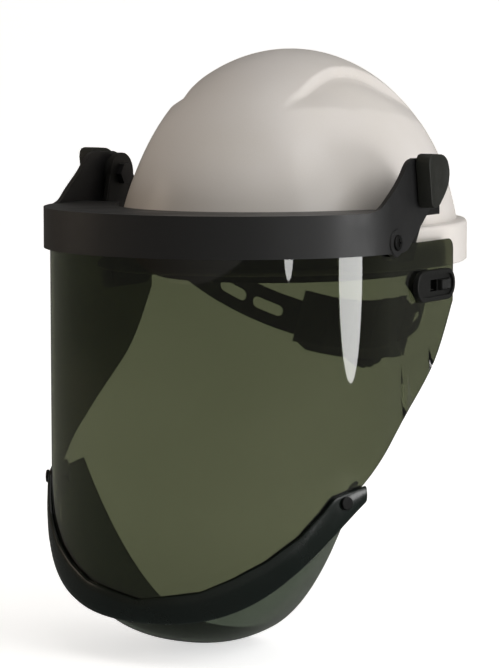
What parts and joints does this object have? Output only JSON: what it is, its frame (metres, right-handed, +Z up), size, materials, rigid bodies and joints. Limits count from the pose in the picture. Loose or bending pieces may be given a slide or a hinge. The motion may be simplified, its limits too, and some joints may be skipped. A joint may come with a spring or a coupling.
{
  "type": "safety face shield on helmet",
  "caption": "Tinted wraparound face shield with chin cup, hung from a carrier band that tilts on the side slots of a safety helmet.",
  "frame": {"origin": "middle of the head opening, level with the widest part of the helmet's dome", "axes": "+Z up, -Y the way the wearer faces, +X the wearer's left"},
  "size_m": [0.262, 0.3396, 0.3777],
  "materials": {
    "shell": "satin off-white moulded helmet plastic",
    "black_nylon": "fine-grained black nylon",
    "zinc_steel": "zinc-plated steel",
    "nylon_washer": "natural nylon",
    "band_plastic": "black flexible plastic",
    "sweat_fabric": "black brushed terry",
    "webbing": "black woven strap",
    "carrier": "charcoal moulded plastic, lightly grained",
    "window_tint": "clear polycarbonate with a grey-green tint",
    "black_screw": "black-coated steel",
    "trim": "dark green-black polished plastic",
    "cup_tint": "green-tinted polycarbonate",
    "pad_rubber": "soft black rubber",
    "knob": "olive-black moulded grip plastic",
    "brass": "turned brass"
  },
  "bodies": {
    "helmet": {"helmet_shell": "shell", "left_slot_adapter": "black_nylon", "right_slot_adapter": "black_nylon", "left_pivot_bolt": "zinc_steel", "right_pivot_bolt": "zinc_steel", "left_friction_washer": "nylon_washer", "right_friction_washer": "nylon_washer", "headband": "band_plastic", "sweatband": "sweat_fabric", "front_left_crown_strap": "webbing", "front_right_crown_strap": "webbing", "suspension_keys": "band_plastic", "left_nape_strap": "band_plastic", "right_nape_strap": "band_plastic", "band_rivets": "band_plastic", "ratchet_back": "band_plastic", "ratchet_cover": "band_plastic", "nape_pad": "sweat_fabric"},
    "shield": {"carrier_frame": "carrier", "window": "window_tint", "window_retainer": "black_nylon", "carrier_screws": "black_screw", "carrier_nuts": "black_screw", "lower_trim": "trim", "trim_rivets": "black_screw", "chin_cup": "cup_tint", "left_side_plate": "black_nylon", "right_side_plate": "black_nylon", "left_backing_pad": "pad_rubber", "right_backing_pad": "pad_rubber", "plate_screws": "black_screw"},
    "left_knob": {"left_knob": "knob", "left_knob_insert": "brass"},
    "right_knob": {"right_knob": "knob", "right_knob_insert": "brass"},
    "left_catch": {"left_catch": "knob"},
    "right_catch": {"right_catch": "knob"},
    "ratchet_dial": {"ratchet_knob": "knob", "ratchet_pinion": "band_plastic"},
    "left_rack": {"left_rack": "band_plastic"},
    "right_rack": {"right_rack": "band_plastic"}
  },
  "joints": [
    {"name": "shield_tilt", "type": "hinge", "parent": "helmet", "child": "shield", "pos_m": [0, -0.036, 0.067], "axis": [-1, 0, 0], "range_deg": [0, 90]},
    {"name": "left_knob_turn", "type": "hinge", "parent": "helmet", "child": "left_knob", "pos_m": [0.126, -0.036, 0.067], "axis": [1, 0, 0], "range_deg": [0, 180]},
    {"name": "right_knob_turn", "type": "hinge", "parent": "helmet", "child": "right_knob", "pos_m": [-0.126, -0.036, 0.067], "axis": [-1, 0, 0], "range_deg": [0, 180]},
    {"name": "left_catch_slide", "type": "slide", "parent": "shield", "child": "left_catch", "axis": [0, -1, 0], "range_m": [0, 0.008]},
    {"name": "right_catch_slide", "type": "slide", "parent": "shield", "child": "right_catch", "axis": [0, -1, 0], "range_m": [0, 0.008]},
    {"name": "ratchet_turn", "type": "hinge", "parent": "helmet", "child": "ratchet_dial", "pos_m": [0, 0.09937, -0.04468], "axis": [0, 0.8686, -0.4955], "range_deg": [-90, 90]},
    {"name": "left_rack_slide", "type": "slide", "parent": "helmet", "child": "left_rack", "axis": [1, 0, 0], "range_m": [-0.0076, 0.0076]},
    {"name": "right_rack_slide", "type": "slide", "parent": "helmet", "child": "right_rack", "axis": [1, 0, 0], "range_m": [-0.0076, 0.0076]}
  ],
  "couplings": [
    {"joint": "left_rack_slide", "follows": "ratchet_turn", "m_per_rad": 0.0048},
    {"joint": "right_rack_slide", "follows": "ratchet_turn", "m_per_rad": -0.0048}
  ]
}
